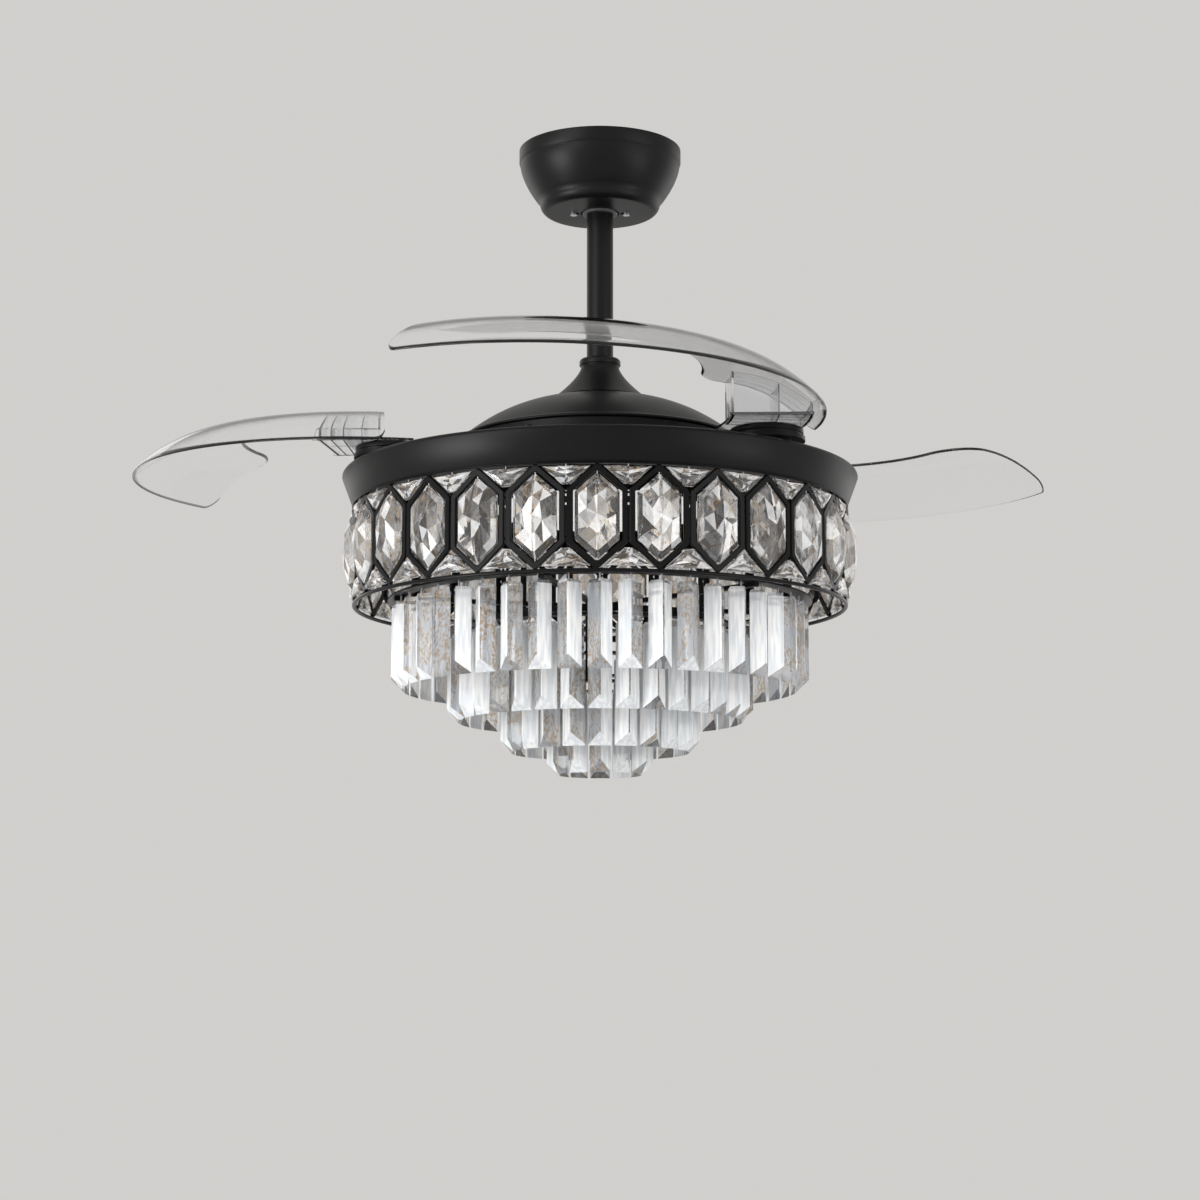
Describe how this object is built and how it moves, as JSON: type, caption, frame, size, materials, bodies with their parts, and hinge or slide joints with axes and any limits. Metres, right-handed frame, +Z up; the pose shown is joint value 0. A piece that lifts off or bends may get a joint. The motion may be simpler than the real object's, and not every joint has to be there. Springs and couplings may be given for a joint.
{
  "type": "retractable blade ceiling fan",
  "caption": "Ceiling fan on a downrod: clear curved blades fold over a black dome, above a drum of cut crystals and stepped tiers of hanging prisms.",
  "frame": {"origin": "centre of the hanger bracket's face against the ceiling, on the fan's axis", "axes": "+Z up into the ceiling, +X to the right and +Y away as seen in the picture; the rotor turns about Z"},
  "size_m": [0.9474, 0.8096, 0.6193],
  "materials": {
    "black_metal": "satin black powder coat",
    "black_aluminium": "satin black powder coat on aluminium",
    "steel": "zinc-plated steel",
    "spring_steel": "spring steel",
    "ball_plastic": "moulded nylon",
    "housing_plastic": "moulded plastic",
    "lamination": "stacked steel sheets",
    "copper": "enamelled copper wire",
    "motor_metal": "cast aluminium",
    "magnet": "ferrite",
    "board": "white solder mask",
    "opal": "opal diffuser",
    "crystal": "clear cut crystal",
    "clear_acrylic": "clear polished plastic"
  },
  "bodies": {
    "root": {"hanger_bracket": "steel", "canopy": "black_metal", "canopy_screws": "steel", "canopy_ring": "ball_plastic", "hanger_ball": "ball_plastic", "ball_pin": "steel", "receiver_box": "housing_plastic", "downrod": "black_metal", "rod_pin": "steel", "bell_collar": "black_metal", "bell_cover": "black_metal", "yoke": "steel", "motor_shaft": "steel", "stator_core": "lamination", "stator_windings": "copper", "drum_plate": "black_aluminium", "shaft_nut": "steel", "drum_band": "black_metal", "band_screws": "black_metal", "lamp_tray": "black_metal", "led_driver": "housing_plastic", "led_board": "board", "lamp_diffuser": "opal", "lattice_top_ring": "black_metal", "lattice_bottom_ring": "black_metal", "hex_lattice": "black_metal", "hex_crystals": "crystal", "small_crystals": "crystal", "crystal_pins": "steel", "tier_frame": "black_metal", "brace_ring": "black_metal", "tier_posts": "black_metal", "tier_ring_1": "black_metal", "tier_prisms_1": "crystal", "tier_ring_2": "black_metal", "tier_prisms_2": "crystal", "tier_ring_3": "black_metal", "tier_prisms_3": "crystal", "tier_ring_4": "black_metal", "tier_prisms_4": "crystal", "prism_hooks": "steel"},
    "rotor": {"rotor_housing": "motor_metal", "rotor_magnets": "magnet", "motor_bearings": "steel", "blade_carrier": "black_aluminium", "dome_cover": "black_aluminium", "hinge_pins": "steel", "return_springs": "spring_steel"},
    "left_blade": {"blade_1": "clear_acrylic", "blade_bracket_1": "clear_acrylic", "hinge_disc_1": "black_aluminium", "bracket_screws_1": "steel"},
    "front_blade": {"blade_2": "clear_acrylic", "blade_bracket_2": "clear_acrylic", "hinge_disc_2": "black_aluminium", "bracket_screws_2": "steel"},
    "rear_blade": {"blade_3": "clear_acrylic", "blade_bracket_3": "clear_acrylic", "hinge_disc_3": "black_aluminium", "bracket_screws_3": "steel"}
  },
  "joints": [
    {"name": "rotor_spin", "type": "hinge", "parent": "root", "child": "rotor", "pos_m": [0, 0, -0.31983], "axis": [0, 0, 1], "continuous": true},
    {"name": "left_blade_swing", "type": "hinge", "parent": "rotor", "child": "left_blade", "pos_m": [-0.19837, -0.06255, -0.31983], "axis": [0, 0, 1], "range_deg": [-81, 0]},
    {"name": "front_blade_swing", "type": "hinge", "parent": "rotor", "child": "front_blade", "pos_m": [0.15335, -0.14052, -0.31983], "axis": [0, 0, 1], "range_deg": [-58, 0]},
    {"name": "rear_blade_swing", "type": "hinge", "parent": "rotor", "child": "rear_blade", "pos_m": [0.04502, 0.20307, -0.31983], "axis": [0, 0, 1], "range_deg": [-77, 0]}
  ],
  "couplings": [
    {"joint": "front_blade_swing", "follows": "left_blade_swing", "ratio": 0.716},
    {"joint": "rear_blade_swing", "follows": "left_blade_swing", "ratio": 0.95}
  ]
}
